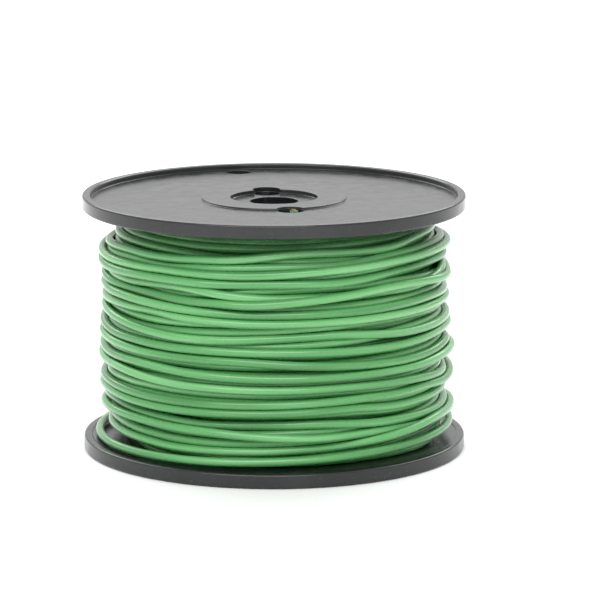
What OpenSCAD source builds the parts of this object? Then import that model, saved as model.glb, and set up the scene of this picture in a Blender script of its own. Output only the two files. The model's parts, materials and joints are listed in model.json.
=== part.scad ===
// Moulded plastic spool, wound with one length of insulated stranded copper wire.
// Millimetres. Z is the spool's axis, +Z up. The origin is the centre of the plane it stands on.
// Both flanges are the same moulding. The bottom one is turned over about the line through its
// drive hole, so the two drive holes line up and the lugs of both find the barrel's windows.

/* [Flanges] */
// Diameter of each flange
flange_d = 127; // [122:1:140]
// Height of the spool over both rims
spool_h = 85.3; // [70:0.1:120]
// Height of a rim's outer wall
rim_h = 4.6; // [4.4:0.1:6]
// Width of the lip that stands round a flange's outer face
rim_w = 2.8; // [2.4:0.1:4]
// Radius that rounds a rim's edges
rim_round = 0.7; // [0.3:0.1:1]
// Depth of a flange's outer face below its rim
face_drop = 1.9; // [1.5:0.1:2.2]
// Thickness of a flange's web
web_t = 2.3; // [2:0.1:2.8]

/* [Hub] */
// Diameter of the arbor bore, for a 5/8 inch arbor
bore_d = 15.88; // [12:0.01:17]
// Diameter of the raised boss
boss_d = 48; // [46:0.5:50]
// Height of the boss above the flange's outer face
boss_h = 0.6; // [0.5:0.1:1.2]
// Diameter of the round recess in the boss
recess_d = 28.8; // [26:0.1:31]
// Depth of the recess below the boss
recess_depth = 1.4; // [1:0.1:1.6]
// Wall of the arbor sleeve inside a flange
sleeve_t = 2.2; // [1.5:0.1:2.6]
// Reach of the arbor sleeve below the rim's outer plane
sleeve_reach = 14.2; // [10:0.1:20]
// Thickness of the ribs between sleeve and collar
rib_t = 1.6; // [1.2:0.1:2]
// Height of the ribs
rib_h = 8; // [4:0.5:9]

/* [Barrel] */
// Outer diameter of the barrel
barrel_d = 42; // [41.6:0.1:42.4]
// Wall of the barrel
barrel_t = 1.4; // [1.2:0.1:1.4]
// Depth of the seat that holds the barrel's end in a flange
seat_depth = 0.8; // [0.4:0.1:0.9]
// Wall of the collar inside the barrel
collar_t = 1.6; // [1.2:0.1:2]
// Sliding clearance between collar, barrel and seat
slip = 0.2; // [0.1:0.05:0.3]

/* [Snap lugs] */
// Width of a snap lug, in degrees round the collar
lug_angle = 18; // [12:1:24]
// Height of a snap lug
lug_h = 3; // [2:0.1:4]
// Reach of a lug into its window in the barrel
lug_reach = 1.3; // [0.8:0.1:1.5]

/* [Holes] */
// Diameter of the drive hole
drive_d = 8.6; // [6:0.1:8.6]
// Distance of the drive hole from the axis
drive_r = 15.2; // [15:0.1:15.2]
// Direction of the drive hole, in degrees
drive_az = 100; // [90:1:110]
// Room left round a drive pin where it passes the collar
drive_room = 0.7; // [0.3:0.1:0.7]
// Diameter of the start hole, beside the barrel
start_d = 8.6; // [6:0.1:9]
// Distance of the start hole from the axis
start_r = 24.5; // [24:0.1:26]
// Direction of the start hole, in degrees
start_az = -77; // [-80:1:-74]
// Diameter of the finish hole, beside the rim
finish_d = 8; // [6:0.1:8.4]
// Distance of the finish hole from the axis
finish_r = 55.5; // [54.5:0.1:56]
// Direction of the finish hole, in degrees
finish_az = 103; // [100:1:106]

/* [Wire] */
// Diameter over the wire's insulation
wire_d = 2.8; // [2.5:0.1:2.8]
// Diameter of one copper strand
strand_d = 0.37; // [0.25:0.01:0.38]
// Distance between neighbouring turns along the axis
turn_pitch = 3.08; // [3.08:0.01:3.3]
// Distance between neighbouring layers
layer_pitch = 2.42; // [2.4:0.01:2.46]
// Full layers of wire on the barrel
layer_count = 14; // [7:1:14]
// Widely spaced turns on top of the last full layer
outer_turn_count = 8; // [1:1:10]
// Bend radius of the wire where it turns into a hole
bend_r = 4; // [3.6:0.1:4]
// Length of bare strand inside each cut end
strand_len = 2.6; // [2:0.1:2.8]

/* [Hidden] */
$fn = 96;
flange_r = flange_d / 2;
rim_in_r = flange_r - rim_w;
web_low = face_drop + web_t;
barrel_r = barrel_d / 2;
barrel_in_r = barrel_r - barrel_t;
collar_r = barrel_in_r - slip;
collar_in_r = collar_r - collar_t;
sleeve_r = bore_d / 2 + sleeve_t;
lug_top = web_low + 3.5;
lug_azimuths = [for (i = [0:2]) drive_az + 60 + 120 * i];
rib_azimuths = [for (i = [0:5]) drive_az + 30 + 60 * i];
overlap = 0.5;
window_gap = 0.3;

// The winding fills the space between the two webs. Odd layers have one turn more than even
// ones, whose turns lie in the grooves of the layer below. The second layer and the last full
// one stop one turn short of the top flange.
turn_space = spool_h - 2 * web_low;
full_turns = floor((turn_space - wire_d) / turn_pitch) + 1;
first_z = web_low + (turn_space - (full_turns - 1) * turn_pitch) / 2;
turn_gap = 0.04;
drawn_d = wire_d - turn_gap;
bridge_t = 0.8;
first_layer_r = barrel_r + wire_d / 2;
outer_layer_r = layer_r(layer_count);
outer_turn_r = outer_layer_r + layer_pitch + 0.04;

// The inner end of the wire rises from the first layer's last turn but one into the top
// flange's start hole.
start_turn = full_turns - 2;
start_side = 4;
start_turn_angle = 330;
start_bend_az = start_az + start_side + atan(bend_r / first_layer_r);
start_end_z = spool_h - 2.2;

// The last turn is loose. It touches the bottom flange towards -X and rises towards +X. At the
// back the outer end of the wire drops into the bottom flange's finish hole.
finish_hole_az = 2 * drive_az - finish_az;
loose_turn_r = outer_layer_r + wire_d + 1.6;
loose_tilt = 1.9;
loose_low_z = web_low + wire_d / 2 + 0.1;
loose_turn_z = loose_low_z + loose_turn_r * sin(loose_tilt);
loose_from_az = finish_hole_az + 8;
loose_angle = 295;
drop_r = outer_turn_r + 0.4;
drop_z = loose_low_z + 0.75 * turn_pitch;
drop_angle = 42;
finish_bend_az = finish_hole_az - atan(bend_r / drop_r);
finish_end_z = 0.5;
strand_proud = 0.3;
conductor_bore_d = 5 * strand_d + 0.1;

function two(k) = k < 10 ? str("0", k) : str(k);
function layer_name(k) = str("winding_layer_", two(k));
function layer_r(k) = first_layer_r + (k - 1) * layer_pitch;
function turn_z(k, i) = first_z + (i + (k % 2 == 1 ? 0 : 0.5)) * turn_pitch;
function is_short(k) = k == 2 || k == layer_count;
function last_index(k) = full_turns - (k % 2 == 1 ? 1 : 2) - (is_short(k) ? 1 : 0);

// A flange lies with its rim's outer plane at z = 0 and its barrel side below.
module rim_section() {
    translate([rim_in_r, -rim_h + rim_round])
        square([rim_w, rim_h - 2 * rim_round]);
    translate([rim_in_r + rim_round, -rim_h])
        square([rim_w - 2 * rim_round, rim_h]);
    for (r = [rim_in_r + rim_round, flange_r - rim_round], z = [-rim_h + rim_round, -rim_round])
        translate([r, z]) circle(r = rim_round);
}

module tube(r_out, r_in, z_low, z_high) {
    translate([0, 0, z_low]) difference() {
        cylinder(r = r_out, h = z_high - z_low);
        translate([0, 0, -1]) cylinder(r = r_in, h = z_high - z_low + 2);
    }
}

module hole(d, r, az) {
    rotate([0, 0, az]) translate([r, 0, -2 * sleeve_reach]) cylinder(d = d, h = 3 * sleeve_reach);
}

// The collar inside the barrel, open where a drive pin passes it.
module collar() {
    difference() {
        tube(collar_r, collar_in_r, -sleeve_reach, -web_low + overlap);
        hole(drive_d + 2 * drive_room, drive_r, drive_az);
    }
}

module sector(az, angle) {
    rotate([0, 0, az - angle / 2]) rotate_extrude(angle = angle) children();
}

module snap_lug(az) {
    sector(az, lug_angle) polygon([
        [collar_r - overlap, -lug_top],
        [collar_r + lug_reach, -lug_top],
        [collar_r + lug_reach, -lug_top - lug_h / 3],
        [collar_r - overlap, -lug_top - lug_h]]);
}

module rib(az) {
    rotate([0, 0, az])
        translate([sleeve_r - overlap, -rib_t / 2, -web_low - rib_h])
        cube([collar_in_r - sleeve_r + 2 * overlap, rib_t, rib_h + overlap]);
}

module flange() {
    difference() {
        union() {
            rotate_extrude() rim_section();
            translate([0, 0, -web_low]) cylinder(r = rim_in_r + overlap, h = web_t);
            translate([0, 0, -face_drop - overlap]) cylinder(d = boss_d, h = boss_h + overlap);
            collar();
            translate([0, 0, -sleeve_reach])
                cylinder(r = sleeve_r, h = sleeve_reach - web_low + overlap);
            for (az = rib_azimuths) rib(az);
            for (az = lug_azimuths) snap_lug(az);
        }
        translate([0, 0, -2 * sleeve_reach]) cylinder(d = bore_d, h = 3 * sleeve_reach);
        translate([0, 0, -face_drop + boss_h - recess_depth]) cylinder(d = recess_d, h = 5);
        tube(barrel_r + slip / 2, collar_r, -web_low - 0.01, -web_low + seat_depth);
        hole(drive_d, drive_r, drive_az);
        hole(start_d, start_r, start_az);
        hole(finish_d, finish_r, finish_az);
    }
}

module top_flange() {
    color([0.13, 0.13, 0.14]) translate([0, 0, spool_h]) flange();
}

module bottom_flange() {
    color([0.13, 0.13, 0.14])
        rotate(a = 180, v = [cos(drive_az), sin(drive_az), 0]) flange();
}

module barrel() {
    z_low = web_low - seat_depth;
    window_z = lug_top - window_gap / 2;
    window_h = lug_h + window_gap;
    color([0.2, 0.2, 0.21]) difference() {
        tube(barrel_r, barrel_in_r, z_low, spool_h - z_low);
        for (az = lug_azimuths, z = [window_z, spool_h - window_z - window_h])
            sector(az, lug_angle + 2) translate([collar_r, z]) square([2 * barrel_t, window_h]);
    }
}

// Turns from one index to another, joined by a thin bridge where they all but touch.
module turns(k, from, to) {
    rotate_extrude() {
        for (i = [from:to])
            translate([layer_r(k), turn_z(k, i)]) circle(d = drawn_d);
        translate([layer_r(k) - bridge_t / 2, turn_z(k, from)])
            square([bridge_t, turn_z(k, to) - turn_z(k, from)]);
    }
}

// Part of a turn at radius r and height z, from az_from round by angle.
module part_turn(r, z, az_from, angle) {
    rotate([0, 0, az_from]) rotate_extrude(angle = angle)
        translate([r, z]) circle(d = drawn_d);
}

// The first layer ends in an open turn below the start hole.
module winding_layer(k) {
    color([0.25, 0.62, 0.3]) {
        turns(k, 0, k == 1 ? start_turn - 1 : last_index(k));
        if (k == 1)
            part_turn(layer_r(1), turn_z(1, start_turn), start_bend_az, start_turn_angle);
    }
}

// Turns that lie in every other groove of the last full layer.
module outer_turns() {
    color([0.25, 0.62, 0.3])
        for (i = [1:outer_turn_count])
            rotate_extrude()
                translate([outer_turn_r, turn_z(layer_count + 1, 2 * i + 1)]) circle(d = drawn_d);
}

module last_turn() {
    color([0.25, 0.62, 0.3]) {
        translate([0, 0, loose_turn_z]) rotate([0, -loose_tilt, 0])
            part_turn(loose_turn_r, 0, loose_from_az, loose_angle);
        part_turn(drop_r, drop_z, finish_bend_az - drop_angle, drop_angle);
    }
}

// A wire end: a quarter bend that leaves a turn against +Y, then a straight tail along +Z,
// hollow at its end for the strands.
module tail_jacket(tail_len) {
    translate([0, 0, bend_r]) rotate([0, 90, 0]) rotate([0, 0, -90])
        rotate_extrude(angle = 90) translate([bend_r, 0]) circle(d = drawn_d);
    translate([0, -bend_r, bend_r]) difference() {
        cylinder(d = drawn_d, h = tail_len);
        translate([0, 0, tail_len - strand_len])
            cylinder(d = conductor_bore_d, h = strand_len + 1);
    }
}

// Nineteen strands: one in the middle, six round it and twelve round those.
module tail_strands(tail_len) {
    pitch = strand_d + 0.01;
    inner = [for (i = [0:5]) pitch * [cos(60 * i), sin(60 * i)]];
    corners = [for (i = [0:5]) 2 * pitch * [cos(60 * i), sin(60 * i)]];
    flats = [for (i = [0:5]) sqrt(3) * pitch * [cos(60 * i + 30), sin(60 * i + 30)]];
    for (p = concat([[0, 0]], inner, corners, flats))
        translate([p[0], p[1] - bend_r, bend_r + tail_len - strand_len])
            cylinder(d = strand_d, h = strand_len + strand_proud, $fn = 24);
}

module at_start_tail() {
    rotate([0, 0, start_bend_az])
        translate([first_layer_r, 0, turn_z(1, start_turn)]) children();
}

module at_finish_tail() {
    rotate([0, 0, finish_bend_az])
        translate([drop_r, 0, drop_z]) rotate([180, 0, 0]) children();
}

start_tail_len = start_end_z - turn_z(1, start_turn) - bend_r;
finish_tail_len = drop_z - bend_r - finish_end_z;

module start_tail_jacket() {
    color([0.25, 0.62, 0.3]) at_start_tail() tail_jacket(start_tail_len);
}

module start_tail_strands() {
    color([0.72, 0.42, 0.25]) at_start_tail() tail_strands(start_tail_len);
}

module finish_tail_jacket() {
    color([0.25, 0.62, 0.3]) at_finish_tail() tail_jacket(finish_tail_len);
}

module finish_tail_strands() {
    color([0.72, 0.42, 0.25]) at_finish_tail() tail_strands(finish_tail_len);
}

top_flange();
bottom_flange();
barrel();
for (k = [1:layer_count])
    winding_layer(k);
outer_turns();
last_turn();
start_tail_jacket();
start_tail_strands();
finish_tail_jacket();
finish_tail_strands();
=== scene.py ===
"""Looks of a wire spool: moulded black flanges on a barrel, wound full of green insulated wire.

The barrel and the inner layers of the winding are the frame's own parts. The flanges, the outer
layers, the last turn and both cut ends are detailed pieces that stand for their CAD nodes.
"""

import json
import math

import bmesh
import bpy
import numpy as np
from mathutils import Matrix, Vector


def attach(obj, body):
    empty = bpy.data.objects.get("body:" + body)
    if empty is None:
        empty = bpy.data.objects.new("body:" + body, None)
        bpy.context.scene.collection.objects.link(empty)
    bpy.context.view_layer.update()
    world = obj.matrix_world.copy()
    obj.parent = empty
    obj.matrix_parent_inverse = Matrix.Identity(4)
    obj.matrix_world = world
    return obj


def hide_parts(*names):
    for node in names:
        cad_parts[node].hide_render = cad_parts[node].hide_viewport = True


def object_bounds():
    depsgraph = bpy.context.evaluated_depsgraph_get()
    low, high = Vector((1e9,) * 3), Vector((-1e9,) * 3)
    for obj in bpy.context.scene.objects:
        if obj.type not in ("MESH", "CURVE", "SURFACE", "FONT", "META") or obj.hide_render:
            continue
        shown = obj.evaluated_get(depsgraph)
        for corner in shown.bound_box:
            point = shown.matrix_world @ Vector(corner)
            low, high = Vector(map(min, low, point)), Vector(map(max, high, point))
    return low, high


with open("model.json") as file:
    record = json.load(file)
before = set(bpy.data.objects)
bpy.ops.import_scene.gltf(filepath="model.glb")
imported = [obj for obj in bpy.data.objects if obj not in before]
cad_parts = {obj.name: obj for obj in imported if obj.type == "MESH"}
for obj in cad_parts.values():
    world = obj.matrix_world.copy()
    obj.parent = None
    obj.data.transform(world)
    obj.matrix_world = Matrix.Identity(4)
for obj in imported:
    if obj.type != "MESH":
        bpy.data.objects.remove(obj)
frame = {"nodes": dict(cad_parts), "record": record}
CAD_LOW, CAD_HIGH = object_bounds()
NODES = frame["nodes"]
MOUNTS = {m["name"]: m for m in frame["record"]["mounts"]}
MM = 0.001

# Flange, in millimetres. Heights are measured from the rim's outer plane, down being negative.
# A rib reaches into the walls that it joins by JOIN.
SPOOL_H = (CAD_HIGH.z - CAD_LOW.z) / MM
FLANGE_R = CAD_HIGH.x / MM
RIM_W, RIM_H, RIM_ROUND = 2.8, 4.6, 0.7
RIM_IN_R = FLANGE_R - RIM_W
FACE_Z, WEB_Z = -1.9, -4.2
BOSS_R, BOSS_Z = 24.0, -1.3
RECESS_R, RECESS_Z = 14.4, -2.7
BORE_R = MOUNTS["arbor_bore"]["dims"]["r_mm"]
SLEEVE_R, COLLAR_R, COLLAR_IN_R, SLEEVE_Z = 10.14, 19.4, 17.8, -14.2
SEAT_R, SEAT_Z = 21.1, -3.4
RIB_W, RIB_H = 1.6, 8.0
LUG_ANGLE, LUG_REACH, LUG_TOP, LUG_H = 18, 1.3, -7.7, 3.0
DRIVE_AZ = 100
DRIVE_ROOM = 0.7
START_HOLE_R, START_HOLE_AT, START_HOLE_AZ = 4.3, 24.5, -77
EDGE_ROUND = 0.3
JOIN = 0.4
LATHE_STEPS, DRILL_STEPS, LUG_STEPS = 288, 64, 10
SHARP_ANGLE = 38

# Wire and winding, in millimetres and degrees.
# STEPS are samples in one turn, and SIDES are the facets round a wire. WIND_SEED was picked from
# many that were tried, because its winding's outline came closest to the photographed spool's.
WIRE_D = 2.8
DRAWN_R = WIRE_D / 2 - 0.01
STEPS = 144
SIDES = 14
TURN_PITCH, LAYER_PITCH, FIRST_LAYER_R = 3.08, 2.42, 22.4
KEPT_LAYERS = 11
WIND_SEED = 41
LOOSE_Z, LOOSE_RISE, LOOSE_R = 7.63, 1.93, 58.26
DROP_R, DROP_Z, DROP_ANGLE = 56.72, 8.01, 42
BEND_R = 4.0
FINISH_HOLE_AZ = 97
FINISH_BEND_AZ = 92.965
FINISH_END_Z = 0.5
START_BEND_AZ, START_Z, START_END_Z = -62.88, 76.53, 83.1
JACKET_BORE_R, JACKET_LIP = 0.98, 0.12
STRAND_D, STRAND_GAP, STRAND_SIDES = 0.37, 0.01, 10
STRAND_PROUD, STRAND_DOME, STRAND_LAY = 0.3, 0.12, 45
BARE_LEN = 2.6

ROOT = "root"


def polar(r, az_deg, z):
    return Vector((r * math.cos(math.radians(az_deg)), r * math.sin(math.radians(az_deg)), z))


def add_piece(name, vertices, faces, material, replaces=()):
    """A mesh in millimetres becomes a piece of the spool, shaded smooth except at sharp edges."""
    mesh = bpy.data.meshes.new(name)
    mesh.from_pydata([tuple(c * MM for c in v) for v in vertices], [], faces)
    return finish_piece(name, mesh, material, replaces)


def finish_piece(name, mesh, material, replaces=()):
    """Shades a mesh in metres, gives it its material and hands it to the frame."""
    mesh.validate()
    mesh.shade_smooth()
    mesh.set_sharp_from_angle(angle=math.radians(SHARP_ANGLE))
    mesh.materials.clear()
    mesh.materials.append(material)
    piece = bpy.data.objects.new(name, mesh)
    bpy.context.scene.collection.objects.link(piece)
    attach(piece, ROOT)
    if replaces:
        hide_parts(*replaces)
    return piece


# ---------------------------------------------------------------- materials

def new_material(name):
    material = bpy.data.materials.new(name)
    material.use_nodes = True
    tree = material.node_tree
    tree.nodes.clear()
    shader = tree.nodes.new("ShaderNodeBsdfPrincipled")
    output = tree.nodes.new("ShaderNodeOutputMaterial")
    tree.links.new(shader.outputs["BSDF"], output.inputs["Surface"])
    return material, tree, shader


def add_node(tree, kind, **settings):
    node = tree.nodes.new(kind)
    for key, value in settings.items():
        setattr(node, key, value)
    return node


def noise(tree, coordinates, scale, detail=3.0, roughness=0.55, stretch=(1, 1, 1)):
    mapping = add_node(tree, "ShaderNodeMapping")
    mapping.inputs["Scale"].default_value = stretch
    texture = add_node(tree, "ShaderNodeTexNoise")
    texture.inputs["Scale"].default_value = scale
    texture.inputs["Detail"].default_value = detail
    texture.inputs["Roughness"].default_value = roughness
    tree.links.new(coordinates, mapping.inputs["Vector"])
    tree.links.new(mapping.outputs["Vector"], texture.inputs["Vector"])
    return texture.outputs["Fac"]


def ramp(tree, value, stops):
    node = add_node(tree, "ShaderNodeValToRGB")
    elements = node.color_ramp.elements
    while len(elements) < len(stops):
        elements.new(0.5)
    for element, (position, color) in zip(elements, stops):
        element.position = position
        element.color = (*color, 1)
    tree.links.new(value, node.inputs["Fac"])
    return node.outputs["Color"]


def remap(tree, value, low, high, start=0.3, end=0.7):
    node = add_node(tree, "ShaderNodeMapRange")
    node.inputs["From Min"].default_value = start
    node.inputs["From Max"].default_value = end
    node.inputs["To Min"].default_value = low
    node.inputs["To Max"].default_value = high
    tree.links.new(value, node.inputs["Value"])
    return node.outputs["Result"]


def mix_color(tree, factor, first, second, blend="MIX"):
    node = add_node(tree, "ShaderNodeMix", data_type="RGBA", blend_type=blend)
    for socket, value in ((node.inputs["Factor"], factor), (node.inputs["A"], first),
                          (node.inputs["B"], second)):
        if isinstance(value, (tuple, float, int)):
            socket.default_value = value
        else:
            tree.links.new(value, socket)
    return [o for o in node.outputs if o.type == "RGBA"][0]


def bump(tree, shader, layers):
    """Chains bump nodes; each layer is (height, distance in metres, strength)."""
    normal = None
    for height, distance, strength in layers:
        node = add_node(tree, "ShaderNodeBump")
        node.inputs["Distance"].default_value = distance
        node.inputs["Strength"].default_value = strength
        tree.links.new(height, node.inputs["Height"])
        if normal is not None:
            tree.links.new(normal, node.inputs["Normal"])
        normal = node.outputs["Normal"]
    tree.links.new(normal, shader.inputs["Normal"])


def object_coordinates(tree):
    return add_node(tree, "ShaderNodeTexCoord").outputs["Object"]


def moulded_plastic(name, dark, light, rough_low, rough_high):
    """Black polystyrene: a faint mottle, fine mould texture, and small pale scuffs."""
    material, tree, shader = new_material(name)
    place = object_coordinates(tree)
    mottle = noise(tree, place, 60, 4)
    scuffs = noise(tree, place, 420, 5, 0.65)
    base = ramp(tree, mottle, [(0.3, dark), (0.7, light)])
    worn = remap(tree, scuffs, 0.0, 0.5, 0.60, 0.74)
    tree.links.new(mix_color(tree, worn, base, (*[3 * c for c in light], 1)),
                   shader.inputs["Base Color"])
    tree.links.new(remap(tree, noise(tree, place, 220, 4), rough_low, rough_high),
                   shader.inputs["Roughness"])
    shader.inputs["IOR"].default_value = 1.52
    bump(tree, shader, [(noise(tree, place, 1300, 3), 0.00003, 0.6), (mottle, 0.00008, 0.1)])
    return material


def wire_jacket(name, coordinates=None):
    """Glossy green insulation, with slow streaks along the wire and a faint trace of its strands."""
    material, tree, shader = new_material(name)
    if coordinates is None:
        place = object_coordinates(tree)
        streaks = noise(tree, place, 90, 3, stretch=(1, 1, 3))
        grain = noise(tree, place, 1500, 3)
    else:
        place = add_node(tree, "ShaderNodeAttribute", attribute_name=coordinates).outputs["Vector"]
        streaks = noise(tree, place, 1, 3, stretch=(14, 300, 300))
        grain = noise(tree, place, 1, 3, stretch=(400, 1500, 1500))
    base = ramp(tree, streaks, [(0.25, (0.045, 0.20, 0.050)), (0.5, (0.085, 0.32, 0.095)),
                                (0.75, (0.180, 0.48, 0.180))])
    tree.links.new(base, shader.inputs["Base Color"])
    tree.links.new(remap(tree, grain, 0.24, 0.38), shader.inputs["Roughness"])
    shader.inputs["IOR"].default_value = 1.53
    shader.inputs["Coat Weight"].default_value = 0.4
    shader.inputs["Coat Roughness"].default_value = 0.15
    bump(tree, shader, [(grain, 0.00002, 0.35), (streaks, 0.0002, 0.15)])
    return material


def drawn_copper(name):
    material, tree, shader = new_material(name)
    place = object_coordinates(tree)
    tarnish = noise(tree, place, 900, 3)
    tree.links.new(ramp(tree, tarnish, [(0.3, (0.22, 0.09, 0.045)), (0.7, (0.36, 0.17, 0.09))]),
                   shader.inputs["Base Color"])
    tree.links.new(remap(tree, noise(tree, place, 3000, 2), 0.22, 0.42), shader.inputs["Roughness"])
    shader.inputs["Metallic"].default_value = 1.0
    bump(tree, shader, [(tarnish, 0.00001, 0.4)])
    return material


# ---------------------------------------------------------------- flanges

def arc(centre_r, centre_z, radius, from_deg, to_deg, steps=5):
    angles = np.radians(np.linspace(from_deg, to_deg, steps + 1))
    return [(centre_r + radius * math.cos(a), centre_z + radius * math.sin(a)) for a in angles]


def flange_outline():
    """Section of a flange in (radius, height), anticlockwise, from the bore's outer end."""
    e, q = EDGE_ROUND, RIM_ROUND
    outline = arc(BORE_R + e, RECESS_Z - e, e, 180, 90)
    outline += arc(RECESS_R - e, RECESS_Z + e, e, 270, 360)
    outline += arc(RECESS_R + e, BOSS_Z - e, e, 180, 90)
    outline += arc(BOSS_R - e, BOSS_Z - e, e, 90, 0)
    outline += arc(BOSS_R + e, FACE_Z + e, e, 180, 270)
    outline += arc(RIM_IN_R - e, FACE_Z + e, e, 270, 360)
    outline += arc(RIM_IN_R + q, -q, q, 180, 90, 7)
    outline += arc(FLANGE_R - q, -q, q, 90, 0, 7)
    outline += arc(FLANGE_R - q, -RIM_H + q, q, 0, -90, 7)
    outline += arc(RIM_IN_R + q, -RIM_H + q, q, 270, 218, 4)
    outline += [(RIM_IN_R, WEB_Z), (SEAT_R, WEB_Z), (SEAT_R, SEAT_Z), (COLLAR_R, SEAT_Z)]
    outline += arc(COLLAR_R - e, SLEEVE_Z + e, e, 0, -90, 3)
    outline += arc(COLLAR_IN_R + e, SLEEVE_Z + e, e, 270, 180, 3)
    outline += arc(COLLAR_IN_R - e, WEB_Z - e, e, 0, 90, 3)
    outline += arc(SLEEVE_R + e, WEB_Z - e, e, 90, 180, 3)
    outline += arc(SLEEVE_R - e, SLEEVE_Z + e, e, 0, -90, 3)
    outline += arc(BORE_R + e, SLEEVE_Z + e, e, 270, 180, 3)
    return outline


def lathe(outline, steps, az_from=0.0, angle=360.0, centre=(0, 0)):
    """Closed bmesh of an outline turned about Z, all round or over an angle with end faces."""
    whole = angle >= 360
    mesh = bmesh.new()
    count = steps if whole else steps + 1
    rings = []
    for k in range(count):
        a = math.radians(az_from + angle * k / steps)
        rings.append([mesh.verts.new((centre[0] + r * math.cos(a), centre[1] + r * math.sin(a), z))
                      for r, z in outline])
    n = len(outline)
    for k in range(steps):
        here, there = rings[k], rings[(k + 1) % count]
        for i in range(n):
            j = (i + 1) % n
            corners = [here[i], there[i], there[j], here[j]]
            if (corners[0].co - corners[1].co).length < 1e-6:
                corners.pop(1)
            elif (corners[2].co - corners[3].co).length < 1e-6:
                corners.pop(3)
            if len({v.co.to_tuple(6) for v in corners}) > 2:
                mesh.faces.new(corners)
    if not whole:
        mesh.faces.new(rings[0])
        mesh.faces.new(list(reversed(rings[-1])))
    bmesh.ops.remove_doubles(mesh, verts=mesh.verts, dist=1e-5)
    bmesh.ops.recalc_face_normals(mesh, faces=mesh.faces)
    return mesh


def hole_cutter(radius, r, az, levels, room=0.0):
    """A drill for one hole. It is wider by some room below the web, where a drive pin passes the
    collar, and it flares a little just below each outer level that it passes."""
    flare = EDGE_ROUND * 0.8
    under_web = WEB_Z - 0.02
    outline = [(0, SLEEVE_Z - 1), (radius + room, SLEEVE_Z - 1)]
    if room:
        outline += [(radius + room, under_web), (radius, under_web)]
    width = radius
    for level in levels:
        outline.append((width, level - flare))
        outline.append((width + 0.3 * flare, level - 0.3 * flare))
        width += flare
        outline.append((width, level))
    outline += [(width, 2.0), (0, 2.0)]
    centre = polar(r, az, 0)
    return lathe(outline, DRILL_STEPS, centre=(centre.x, centre.y))


def block(low, high, turn_deg):
    mesh = bmesh.new()
    bmesh.ops.create_cube(mesh, size=1)
    size = Vector(high) - Vector(low)
    middle = (Vector(high) + Vector(low)) / 2
    for v in mesh.verts:
        v.co = Vector((v.co.x * size.x, v.co.y * size.y, v.co.z * size.z)) + middle
    bmesh.ops.rotate(mesh, verts=mesh.verts, cent=(0, 0, 0),
                     matrix=Matrix.Rotation(math.radians(turn_deg), 3, "Z"))
    return mesh


def to_object(name, mesh_data):
    mesh = bpy.data.meshes.new(name)
    mesh_data.to_mesh(mesh)
    mesh_data.free()
    item = bpy.data.objects.new(name, mesh)
    bpy.context.scene.collection.objects.link(item)
    return item


def combine(target, tools, operation):
    """Applies exact booleans one after another to the target, and removes the tools."""
    for tool in tools:
        modifier = target.modifiers.new("combine", "BOOLEAN")
        modifier.operation = operation
        modifier.solver = "EXACT"
        modifier.object = tool
        result = bpy.data.meshes.new_from_object(
            target.evaluated_get(bpy.context.evaluated_depsgraph_get()))
        target.modifiers.clear()
        target.data = result
        bpy.data.objects.remove(tool)


def build_flange_mesh():
    """One flange with its rim's outer plane at height 0, in millimetres."""
    flange = to_object("flange_work", lathe(flange_outline(), LATHE_STEPS))
    rib_low = (SLEEVE_R - JOIN, -RIB_W / 2, WEB_Z - RIB_H)
    rib_high = (COLLAR_IN_R + JOIN, RIB_W / 2, WEB_Z + JOIN)
    ribs = [to_object("rib", block(rib_low, rib_high, DRIVE_AZ + 30 + 60 * i)) for i in range(6)]
    lug_in_r, lug_out_r = COLLAR_R - 0.5, COLLAR_R + LUG_REACH
    lug_outline = [(lug_in_r, LUG_TOP - LUG_H), (lug_out_r, LUG_TOP - LUG_H / 3),
                   (lug_out_r, LUG_TOP), (lug_in_r, LUG_TOP)]
    lug_az = [DRIVE_AZ + 60 + 120 * i - LUG_ANGLE / 2 for i in range(3)]
    lugs = [to_object("lug", lathe(lug_outline, LUG_STEPS, az, LUG_ANGLE)) for az in lug_az]
    combine(flange, ribs + lugs, "UNION")
    drive, finish = MOUNTS["drive_hole_top"], MOUNTS["finish_hole_top"]
    drive_r = Vector(drive["pos_m"]).xy.length / MM
    finish_at = Vector(finish["pos_m"]).xy
    finish_az = math.degrees(math.atan2(finish_at.y, finish_at.x))
    holes = [hole_cutter(drive["dims"]["r_mm"], drive_r, DRIVE_AZ, [RECESS_Z, BOSS_Z], DRIVE_ROOM),
             hole_cutter(START_HOLE_R, START_HOLE_AT, START_HOLE_AZ, [FACE_Z, BOSS_Z]),
             hole_cutter(finish["dims"]["r_mm"], finish_at.length / MM, finish_az, [FACE_Z])]
    combine(flange, [to_object("drill", h) for h in holes], "DIFFERENCE")
    mesh = flange.data
    bpy.data.objects.remove(flange)
    return mesh


def add_flanges(material):
    master = build_flange_mesh()
    scale = Matrix.Scale(MM, 4)
    raise_up = Matrix.Translation((0, 0, SPOOL_H))
    turn_over = Matrix.Rotation(math.pi, 4, polar(1, DRIVE_AZ, 0))
    for name, place in (("top_flange", raise_up), ("bottom_flange", turn_over)):
        mesh = master.copy()
        mesh.transform(scale @ place)
        piece = finish_piece("moulded_" + name, mesh, material, (name,))
        weighted = piece.modifiers.new("even_shading", "WEIGHTED_NORMAL")
        weighted.keep_sharp = True


# ---------------------------------------------------------------- winding

def smooth_noise(rng, count, every):
    """Random values that change smoothly, with one random knot in every so many samples."""
    knots = rng.normal(0, 1, int(count / every) + 4)
    x = np.arange(count) / every + 1
    i = x.astype(int)
    t = x - i
    before, start, end, after = (knots[np.minimum(i + step, len(knots) - 1)] for step in (-1, 0, 1, 2))
    return 0.5 * (2 * start + (end - before) * t + (2 * before - 5 * start + 4 * end - after) * t**2
                  + (3 * start - before - 3 * end + after) * t**3)


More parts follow.
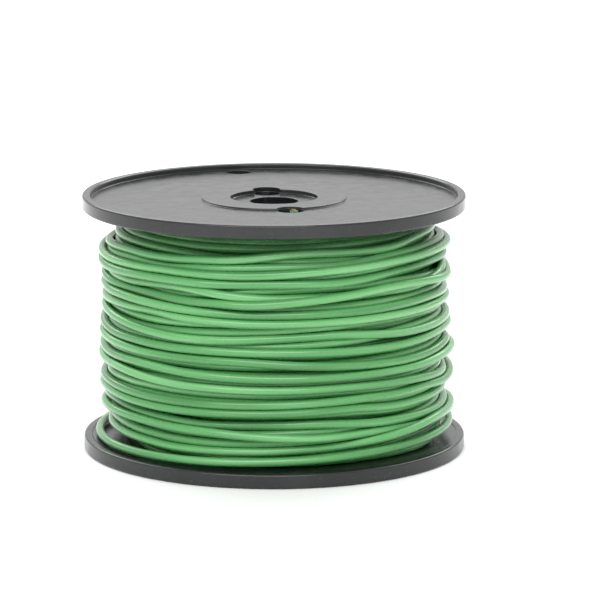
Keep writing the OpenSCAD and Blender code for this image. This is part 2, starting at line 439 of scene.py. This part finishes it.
def kept_turns():
    """Heights and radius of the turns of the outermost layer that is kept from the frame."""
    count = 25 if KEPT_LAYERS % 2 else 24
    first = SPOOL_H / 2 - (count - 1) / 2 * TURN_PITCH
    return first + np.arange(count) * TURN_PITCH, FIRST_LAYER_R + (KEPT_LAYERS - 1) * LAYER_PITCH


def resting_radius(z, below_z, below_r, floor_r):
    """Lowest radius at which a wire at height z clears the wires below it, and the slope there."""
    gap = z[:, None] - below_z
    touching = np.abs(gap) < WIRE_D
    lift = np.sqrt(np.maximum(WIRE_D**2 - gap**2, 1e-6))
    radius = np.where(touching, below_r + lift, floor_r)
    rows = np.arange(len(z))
    highest = radius.argmax(1)
    slope = np.where(touching[rows, highest],
                     -gap[rows, highest] / np.maximum(lift[rows, highest], WIRE_D / 6), 0)
    return np.maximum(radius[rows, highest], floor_r), slope


def smooth(line, fixed, passes, amount):
    """Evens out a line, apart from its first samples, which are already laid."""
    laid = line[:fixed].copy()
    for _ in range(passes):
        line[1:-1] += amount * (0.5 * (line[:-2] + line[2:]) - line[1:-1])
        line[:fixed] = laid
    return line


# How the wire settles. In each settling pass it slips down a slope, is pulled back towards its
# guide, and its bends are eased. Then it is drawn taut over hollows and evened out.
WEB_ROOM = 0.05
LOWEST_Z, HIGHEST_Z = WIRE_D / 2 - WEB_Z + WEB_ROOM, SPOOL_H + WEB_Z - WIRE_D / 2 - WEB_ROOM
SETTLE_PASSES, SLIP_STEP, STEEPEST, PULL_STEP = 50, 0.10, 1.5, 0.04
EASE_PASSES, EASE_AMOUNT = 4, 0.45
TAUT_PASSES = 300
EVEN_PASSES, EVEN_AMOUNT = 8, 0.5
REJOIN_STEPS = 20


def settle_heights(target, slip, laid, under_z, under_r, floor_r):
    """Heights of the next stretch of wire, after the laid samples, among the wires below it."""
    z = target.copy()
    if len(laid):
        z += (laid[-1] - target[0]) * np.exp(-np.arange(len(z)) / REJOIN_STEPS)
    for _ in range(SETTLE_PASSES):
        _, slope = resting_radius(z, under_z, under_r, floor_r)
        z = z - SLIP_STEP * slip * np.clip(slope, -STEEPEST, STEEPEST)
        z += PULL_STEP * (target - z)
        line = smooth(np.concatenate([laid, z, z[-1:]]), len(laid), EASE_PASSES, EASE_AMOUNT)
        z = np.clip(line[len(laid):-1], LOWEST_Z, HIGHEST_Z)
    return z


def draw_taut(rest, laid):
    """Radii of a stretch of wire that spans the hollows of its resting radii, as a taut wire does."""
    step_cos = math.cos(2 * math.pi / STEPS)
    line = np.concatenate([laid, rest])
    floor = line.copy()
    for _ in range(TAUT_PASSES):
        line[1:-1] = np.maximum(floor[1:-1], 0.5 * (line[:-2] + line[2:]) * step_cos)
        line[:len(laid)] = laid
    return smooth(line, len(laid), EVEN_PASSES, EVEN_AMOUNT)[len(laid):]


def wind(guide, slip, loose_r):
    """Lays the wire half a turn at a time. It follows the guide's height, slips towards the
    grooves of the wires below, rests on them, and spans their hollows as a taut wire does."""
    ridge_z, ridge_r = kept_turns()
    count, kept, nowhere = len(guide), len(ridge_z), -99.0
    below_z = np.full((STEPS, kept + count // STEPS + 1), nowhere)
    below_r = np.full_like(below_z, nowhere)
    below_z[:, :kept], below_r[:, :kept] = ridge_z, ridge_r
    target = np.clip(guide, LOWEST_Z, HIGHEST_Z)
    height, radius = np.zeros(count), np.zeros(count)
    block, ahead, behind = STEPS // 2, STEPS // 3, STEPS // 12
    for a in range(0, count, block):
        b = min(a + block + ahead, count)
        laid = slice(a - behind if a else a, a)
        column = np.arange(a, b) % STEPS
        under_z, under_r = below_z[column], below_r[column]
        z = settle_heights(target[a:b], slip[a:b], height[laid], under_z, under_r, ridge_r)
        rest, _ = resting_radius(z, under_z, under_r, ridge_r)
        r = draw_taut(np.maximum(rest, loose_r[a:b]), radius[laid])
        done = min(block, count - a)
        height[a:a + done], radius[a:a + done] = z[:done], r[:done]
        at, turn = column[:done], kept + a // STEPS
        below_z[at, turn], below_r[at, turn] = z[:done], r[:done]
    return height, radius


def ease(x):
    """Goes smoothly from 0 to 1 as x does."""
    x = np.clip(x, 0, 1)
    return x * x * (3 - 2 * x)


def soften(values, width):
    """The mean of each value and its neighbours, up to width samples away on either side."""
    window = np.ones(2 * width + 1) / (2 * width + 1)
    return np.convolve(np.pad(values, width, mode="edge"), window, "valid")


# Each traverse of the winding: height it starts and ends at, its turns, how far it wanders, and
# how readily it slips into grooves. The last one is sparse, so the layer below shows through.
TRAVERSES = [
    (7.0, 75.8, 22.3, 0.4, 1.0),
    (75.4, 6.0, 21.0, 0.8, 1.0),
    (7.0, 73.6, 19.4, 1.2, 0.9),
    (71.0, 11.0, 14.97, 1.3, 0.9),
]
WANDER_TURNS = 0.3
# The outer layer keeps one height for its last LEVEL_TURN. Its lean starts LEAN_FROM turns
# before its end and grows over LEAN_GROWS turns.
LEVEL_TURN, LEAN_FROM, LEAN_GROWS = 0.87, 1.7, 1.2
# Near the top, where the third traverse ends, the turns lean up by TOP_LEAN towards TOP_LEAN_AZ.
# That starts TOP_LEAN_FROM turns before its end, and grows and fades over TOP_LEAN_GROWS turns.
TOP_LEAN, TOP_LEAN_AZ, TOP_LEAN_FROM, TOP_LEAN_GROWS = 2.0, -45, 3.5, 2.5
# The last turn falls over FALL_ANGLE. From LOOSE_FROM on it eases out to LOOSE_R, over
# LOOSE_GROWS, having started nearer to the axis by LOOSE_IN.
FALL_ANGLE, LOOSE_FROM, LOOSE_GROWS, LOOSE_IN = 60, 20, 50, 3


def traverse_guides():
    """Height to follow, readiness to slip and wander, as one list of arrays each."""
    guide, slip, wander = [], [], []
    for start, end, turns, stray, slide in TRAVERSES:
        count = round(turns * STEPS)
        guide.append(start + (end - start) * np.arange(count) / count)
        wander.append(np.full(count, stray))
        slip.append(np.full(count, slide))
    outer_start, outer_end, outer_turns = TRAVERSES[-1][:3]
    to_go = np.arange(len(guide[-1])) / STEPS - outer_turns
    level = np.interp(to_go, [-outer_turns, -LEVEL_TURN, 0], [outer_start, outer_end, outer_end])
    lean = ease((to_go + LEAN_FROM) / LEAN_GROWS) * np.cos(np.radians(FINISH_HOLE_AZ + 360 * to_go))
    guide[-1] = level + LOOSE_RISE * lean
    return guide, slip, wander


def last_turn_guide():
    """Height and least radius of the last turn, and its progress in the drop to its hole. It falls
    onto the bottom flange at the left, rises towards the right and comes round to the back."""
    angle = FINISH_BEND_AZ + 360 - FINISH_HOLE_AZ
    count = round(angle / 360 * STEPS)
    az = np.arange(count) / count * angle
    fall, drop = ease(az / FALL_ANGLE), ease((az - angle + DROP_ANGLE) / DROP_ANGLE)
    lie = LOOSE_Z + LOOSE_RISE * np.cos(np.radians(FINISH_HOLE_AZ + az))
    guide = lie + (TRAVERSES[-1][1] - lie) * (1 - fall) + (DROP_Z - lie) * drop
    closer = LOOSE_IN * (1 - ease((az - LOOSE_FROM) / LOOSE_GROWS))
    spread = LOOSE_R - closer + (DROP_R - LOOSE_R) * drop
    return guide, np.where(az > LOOSE_FROM, spread, 0), drop


def wind_outer_layers():
    """Points of the simulated wire and the sample at which each layer ends."""
    rng = np.random.default_rng(WIND_SEED)
    guide, slip, wander = traverse_guides()
    ends = np.cumsum([len(g) for g in guide])
    last_guide, last_r, drop = last_turn_guide()
    still = np.zeros(len(last_guide))
    guide = np.concatenate([*guide, last_guide])
    slip = np.concatenate([*slip, still])
    wander = np.concatenate([*wander, still])
    loose_r = np.concatenate([np.zeros(ends[-1]), last_r])
    az = np.radians(FINISH_BEND_AZ) + (np.arange(len(guide)) - len(guide) + 1) * 2 * math.pi / STEPS
    turn = (np.arange(len(guide)) - ends[2]) / STEPS
    near_top = ease((turn + TOP_LEAN_FROM) / TOP_LEAN_GROWS) * (1 - ease(turn / TOP_LEAN_GROWS))
    guide = guide + TOP_LEAN * near_top * np.cos(az - math.radians(TOP_LEAN_AZ))
    noise_line = smooth_noise(rng, len(guide), WANDER_TURNS * STEPS)
    guide = guide + soften(wander, STEPS // 4) * noise_line
    height, radius = wind(guide, soften(slip, STEPS // 7), loose_r)
    # The wire's end is brought to where the finish end starts, to within a hundredth.
    height[-len(drop):] += drop * (DROP_Z - height[-1])
    radius[-len(drop):] += drop * (DROP_R - radius[-1])
    points = np.column_stack([radius * np.cos(az), radius * np.sin(az), height])
    return points, ends


def directions(path):
    """The unit direction of a path at each of its points."""
    tangent = np.gradient(path, axis=0)
    return tangent / np.linalg.norm(tangent, axis=1, keepdims=True)


def rings(centres, tangent, sideways, radii, start_along=0.0):
    """Rings round a path: vertices, faces and each vertex's place along and around the wire.
    sideways holds a direction across the path for each point."""
    u = sideways - (sideways * tangent).sum(1, keepdims=True) * tangent
    u /= np.linalg.norm(u, axis=1, keepdims=True)
    v = np.cross(tangent, u)
    angle = np.arange(SIDES) * 2 * math.pi / SIDES
    across = u[:, None] * np.cos(angle)[:, None] + v[:, None] * np.sin(angle)[:, None]
    vertices = (centres[:, None] + radii[:, None, None] * across).reshape(-1, 3)
    step = np.linalg.norm(np.diff(centres, axis=0), axis=1)
    along = start_along + np.concatenate([[0], np.cumsum(step)])
    wire_place = np.empty((len(centres), SIDES, 3))
    wire_place[..., 0] = along[:, None]
    wire_place[..., 1] = WIRE_D / 2 * np.cos(angle)
    wire_place[..., 2] = WIRE_D / 2 * np.sin(angle)
    faces = []
    for k in range(len(centres) - 1):
        a, b = k * SIDES, (k + 1) * SIDES
        for i in range(SIDES):
            j = (i + 1) % SIDES
            faces.append((a + i, a + j, b + j, b + i))
    last = (len(centres) - 1) * SIDES
    faces.append(tuple(range(SIDES - 1, -1, -1)))
    faces.append(tuple(last + i for i in range(SIDES)))
    return vertices, faces, wire_place.reshape(-1, 3) * MM


def add_wire(name, mesh_parts, material, replaces):
    """A swept stretch of jacket, with its place along the wire stored for the material."""
    vertices, faces, wire_place = mesh_parts
    piece = add_piece(name, vertices, faces, material, replaces)
    attribute = piece.data.attributes.new("wire_place", "FLOAT_VECTOR", "POINT")
    attribute.data.foreach_set("vector", wire_place.astype(np.float32).ravel())


def outward(points):
    """The unit direction away from the spool's axis at each point."""
    away = np.array(points, float)
    away[:, 2] = 0
    return away / np.linalg.norm(away, axis=1, keepdims=True)


def add_winding(material):
    points, ends = wind_outer_layers()
    along = np.concatenate([[0], np.cumsum(np.linalg.norm(np.diff(points, axis=0), axis=1))])
    stands_for = {"wire_layer_12": "winding_layer_12", "wire_layer_13": "winding_layer_13",
                  "wire_layer_14": "winding_layer_14", "wire_outer_layer": "outer_turns",
                  "wire_last_turn": "last_turn"}
    starts = [0, *ends]
    stops = [*ends, len(points) - 1]
    for (name, replaced), first, stop in zip(stands_for.items(), starts, stops):
        part = points[first:stop + 1]
        radii = np.full(len(part), DRAWN_R)
        swept = rings(part, directions(part), outward(part), radii, along[first])
        add_wire(name, swept, material, (replaced,))
    outer_r = np.hypot(points[:, 0], points[:, 1]).max() + WIRE_D / 2
    print(f"simulated wire: {along[-1] * MM:.2f} m, outer radius {outer_r:.2f} mm")


# ---------------------------------------------------------------- cut ends

def end_path(bend_r, az, z, end_z):
    """From a turn at azimuth az a wire bends up or down and runs straight to its cut end. Returns
    its points, the outward direction at the turn, and 1 or -1 for up or down."""
    up = 1 if end_z > z else -1
    out, forward = polar(1, az, 0), polar(1, az + (-90 if up > 0 else 90), 0)
    start = bend_r * out + Vector((0, 0, z))
    bend = [start + BEND_R * (math.sin(t) * forward + up * (1 - math.cos(t)) * Vector((0, 0, 1)))
            for t in np.linspace(0, math.pi / 2, 15)]
    top = Vector((bend[-1].x, bend[-1].y, end_z))
    straight = [bend[-1].lerp(top, t) for t in np.linspace(0, 1, 7)[1:]]
    return np.array([tuple(p) for p in bend + straight]), np.array(tuple(out)), up


def add_cut_end(name, turn_r, az, z, end_z, jacket, copper, jacket_node, strand_node):
    """A cut end: its jacket bends off the turn, has a narrow lip and a bore, and holds strands."""
    path, out, up = end_path(turn_r, az, z, end_z)
    axis = np.array([0, 0, up])
    lip = JACKET_LIP
    path[-1] -= lip * axis
    tip = path[-1].copy()
    bevel = tip - 0.3 * lip * axis
    mouth = [bevel, tip, tip, bevel, tip - BARE_LEN * axis]
    mouth_r = [DRAWN_R - 0.3 * lip, DRAWN_R - lip, JACKET_BORE_R + lip / 2, JACKET_BORE_R,
               JACKET_BORE_R]
    centres = np.vstack([path, mouth])
    radii = np.concatenate([np.full(len(path), DRAWN_R), mouth_r])
    tangent = np.vstack([directions(path), np.tile(axis, (len(mouth), 1))])
    sideways = np.tile(out, (len(centres), 1))
    add_wire(name + "_jacket", rings(centres, tangent, sideways, radii), jacket, (jacket_node,))
    add_strands(name + "_strands", tip, axis, copper, strand_node)


def strand_places():
    """Radius and azimuth of nineteen strands: one, six round it and twelve round those."""
    pitch = STRAND_D + STRAND_GAP
    places = [(0, 0)]
    places += [(pitch, 60 * i) for i in range(6)]
    places += [(2 * pitch, 60 * i) for i in range(6)]
    places += [(math.sqrt(3) * pitch, 60 * i + 30) for i in range(6)]
    return places


def add_strands(name, tip, axis, copper, strand_node):
    """Nineteen twisted strands with domed ends, which stand a little uneven."""
    rise, uneven, uneven_step = STRAND_PROUD - STRAND_DOME, 0.12, 5.1
    depths = [-BARE_LEN, -BARE_LEN / 2, 0, rise, STRAND_PROUD - 0.4 * STRAND_DOME, STRAND_PROUD]
    widths = [1, 1, 1, 1, 0.8, 0.35]
    sides = STRAND_SIDES
    upward = axis[2] > 0
    vertices, faces = [], []
    for k, (r, turn) in enumerate(strand_places()):
        proud = uneven * math.sin(uneven_step * k)
        first = len(vertices)
        for depth, width in zip(depths, widths):
            reach = depth + (proud if depth > 0 else 0)
            twist = math.radians(turn + 360 * reach / STRAND_LAY)
            centre = Vector(tip) + Vector(axis) * reach
            centre += Vector((r * math.cos(twist), r * math.sin(twist), 0))
            base = len(vertices)
            for i in range(sides):
                a = 2 * math.pi * i / sides
                side = Vector((math.cos(a), math.sin(a), 0))
                vertices.append(centre + STRAND_D / 2 * width * side)
            if depth > depths[0]:
                for i in range(sides):
                    j = (i + 1) % sides
                    quad = (base - sides + i, base - sides + j, base + j, base + i)
                    faces.append(quad if upward else quad[::-1])
        bottom = tuple(range(first, first + sides))
        top = tuple(range(len(vertices) - sides, len(vertices)))
        faces += [bottom[::-1], top] if upward else [bottom, top[::-1]]
    add_piece(name, vertices, faces, copper, (strand_node,))


# ---------------------------------------------------------------- surroundings

def add_camera():
    """The view from a little above, with the spool left of and below the middle of the picture.
    Lengths are in metres."""
    distance, elevation, focal_px, picture_px = 1.290, math.radians(11.1), 3873, 600
    sensor = 36.0
    aim_right, aim_up = 0.0086, 0.0063
    data = bpy.data.cameras.new("camera")
    data.sensor_width = sensor
    data.lens = focal_px * sensor / picture_px
    data.clip_end = 20
    camera = bpy.data.objects.new("camera", data)
    bpy.context.scene.collection.objects.link(camera)
    back = Vector((0, -math.cos(elevation), math.sin(elevation)))
    up = Vector((0, math.sin(elevation), math.cos(elevation)))
    centre = (CAD_LOW + CAD_HIGH) / 2
    centre.x = centre.y = 0
    camera.location = centre + distance * back + aim_right * Vector((1, 0, 0)) + aim_up * up
    camera.rotation_euler = back.to_track_quat("Z", "Y").to_euler()
    bpy.context.scene.camera = camera


def add_floor():
    material, tree, shader = new_material("floor_white")
    clouds = noise(tree, object_coordinates(tree), 3)
    whites = [(0.3, (0.90, 0.90, 0.90)), (0.7, (0.92, 0.92, 0.92))]
    tree.links.new(ramp(tree, clouds, whites), shader.inputs["Base Color"])
    shader.inputs["Roughness"].default_value = 0.8
    shader.inputs["Specular IOR Level"].default_value = 0.2
    mesh = bpy.data.meshes.new("floor")
    half, gap = 4.0, 0.0002
    corners = [(-half, -half, 0), (half, -half, 0), (half, half, 0), (-half, half, 0)]
    mesh.from_pydata(corners, [], [(0, 1, 2, 3)])
    mesh.materials.append(material)
    floor = bpy.data.objects.new("floor", mesh)
    floor.location.z = CAD_LOW.z - gap
    bpy.context.scene.collection.objects.link(floor)


def add_area_light(name, location, size, power):
    data = bpy.data.lights.new(name, "AREA")
    data.shape = "RECTANGLE"
    data.size, data.size_y = size
    data.energy = power
    light = bpy.data.objects.new(name, data)
    light.location = location
    target = Vector((0, 0, 0.04))
    light.rotation_euler = (Vector(location) - target).to_track_quat("Z", "Y").to_euler()
    bpy.context.scene.collection.objects.link(light)


def add_lights():
    world = bpy.data.worlds.new("studio")
    world.use_nodes = True
    background = world.node_tree.nodes["Background"]
    background.inputs["Color"].default_value = (1, 1, 1, 1)
    background.inputs["Strength"].default_value = 0.90
    bpy.context.scene.world = world
    add_area_light("behind_above", (0.0, 0.8, 0.9), (1.8, 0.9), 16)
    add_area_light("front", (-0.2, -1.1, 1.1), (1.6, 0.6), 13)
    bpy.context.scene.view_settings.view_transform = "Standard"


# ---------------------------------------------------------------- the spool

add_camera()
add_lights()
add_floor()

flange_plastic = moulded_plastic("black_flange_plastic", (0.009, 0.010, 0.011),
                                 (0.019, 0.020, 0.021), 0.15, 0.26)
barrel_plastic = moulded_plastic("black_barrel_plastic", (0.018, 0.018, 0.020),
                                 (0.034, 0.034, 0.036), 0.40, 0.55)
swept_jacket = wire_jacket("green_insulation_swept", "wire_place")
ring_jacket = wire_jacket("green_insulation")
copper = drawn_copper("drawn_copper")

for node_name, material in [("barrel", barrel_plastic)] + [
        (f"winding_layer_{k:02d}", ring_jacket) for k in range(1, KEPT_LAYERS + 1)]:
    NODES[node_name].data.materials.clear()
    NODES[node_name].data.materials.append(material)

add_flanges(flange_plastic)
add_winding(swept_jacket)
add_cut_end("start_end", FIRST_LAYER_R, START_BEND_AZ, START_Z, START_END_Z, swept_jacket, copper,
            "start_tail_jacket", "start_tail_strands")
add_cut_end("finish_end", DROP_R, FINISH_BEND_AZ, DROP_Z, FINISH_END_Z, swept_jacket, copper,
            "finish_tail_jacket", "finish_tail_strands")
